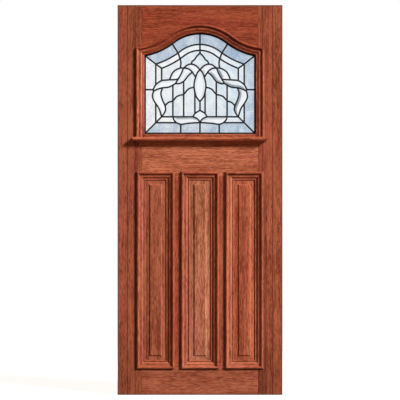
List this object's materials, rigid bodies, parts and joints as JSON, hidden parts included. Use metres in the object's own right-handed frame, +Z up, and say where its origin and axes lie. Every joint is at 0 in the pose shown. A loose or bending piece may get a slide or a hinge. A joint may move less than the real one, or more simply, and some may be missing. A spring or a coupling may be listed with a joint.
{
  "type": "stained glass front door",
  "caption": "Panelled hardwood front door leaf with an arched leaded light over a shelf moulding and tall raised panels.",
  "frame": {"origin": "on the hinge edge, at mid-thickness, at the centre of the middle hinge's seat", "axes": "+Z up, +X from the hinge edge to the lock edge, -Y out of the outside face"},
  "size_m": [0.838, 0.08, 1.981],
  "materials": {
    "hardwood_frame": "oiled red-brown hardwood with fine short grain, satin",
    "hardwood_panel": "oiled red-brown hardwood with upright grain, satin",
    "hardwood_moulding": "oiled red-brown hardwood, run along the moulding, satin",
    "leaded_textured_glass": "pale obscure glass with a fine dimpled face, held in dark lead cames",
    "clear_bevelled_glass": "clear polished glass with a bevelled front edge",
    "lead_came": "dull blue-black lead"
  },
  "bodies": {
    "root": {"bevelled_glass_almond": "clear_bevelled_glass", "bevelled_glass_left_inner_petal": "clear_bevelled_glass", "bevelled_glass_left_leaf": "clear_bevelled_glass", "bevelled_glass_left_ribbon_arm": "clear_bevelled_glass", "bevelled_glass_left_ribbon_fold": "clear_bevelled_glass", "bevelled_glass_left_ribbon_tail": "clear_bevelled_glass", "bevelled_glass_left_ribbon_turn": "clear_bevelled_glass", "bevelled_glass_right_inner_petal": "clear_bevelled_glass", "bevelled_glass_right_leaf": "clear_bevelled_glass", "bevelled_glass_right_ribbon_arm": "clear_bevelled_glass", "bevelled_glass_right_ribbon_fold": "clear_bevelled_glass", "bevelled_glass_right_ribbon_tail": "clear_bevelled_glass", "bevelled_glass_right_ribbon_turn": "clear_bevelled_glass", "bottom_rail": "hardwood_frame", "glazing_back_bead_arch": "hardwood_moulding", "glazing_back_bead_bottom": "hardwood_moulding", "glazing_back_bead_left": "hardwood_moulding", "glazing_back_bead_right": "hardwood_moulding", "glazing_moulding_arch": "hardwood_moulding", "glazing_moulding_left": "hardwood_moulding", "glazing_moulding_right": "hardwood_moulding", "hinge_stile": "hardwood_frame", "leaded_light": "leaded_textured_glass", "left_panel_back_bead_bottom": "hardwood_moulding", "left_panel_back_bead_left": "hardwood_moulding", "left_panel_back_bead_right": "hardwood_moulding", "left_panel_back_bead_top": "hardwood_moulding", "left_panel_moulding_bottom": "hardwood_moulding", "left_panel_moulding_left": "hardwood_moulding", "left_panel_moulding_right": "hardwood_moulding", "left_panel_moulding_top": "hardwood_moulding", "lock_rail": "hardwood_frame", "lock_stile": "hardwood_frame", "middle_panel_back_bead_bottom": "hardwood_moulding", "middle_panel_back_bead_left": "hardwood_moulding", "middle_panel_back_bead_right": "hardwood_moulding", "middle_panel_back_bead_top": "hardwood_moulding", "middle_panel_moulding_bottom": "hardwood_moulding", "middle_panel_moulding_left": "hardwood_moulding", "middle_panel_moulding_right": "hardwood_moulding", "middle_panel_moulding_top": "hardwood_moulding", "muntin_left": "hardwood_frame", "muntin_right": "hardwood_frame", "panel_left": "hardwood_panel", "panel_middle": "hardwood_panel", "panel_right": "hardwood_panel", "right_panel_back_bead_bottom": "hardwood_moulding", "right_panel_back_bead_left": "hardwood_moulding", "right_panel_back_bead_right": "hardwood_moulding", "right_panel_back_bead_top": "hardwood_moulding", "right_panel_moulding_bottom": "hardwood_moulding", "right_panel_moulding_left": "hardwood_moulding", "right_panel_moulding_right": "hardwood_moulding", "right_panel_moulding_top": "hardwood_moulding", "shelf_moulding": "hardwood_moulding", "sill_bead": "hardwood_moulding", "top_rail": "hardwood_frame"}
  },
  "joints": []
}
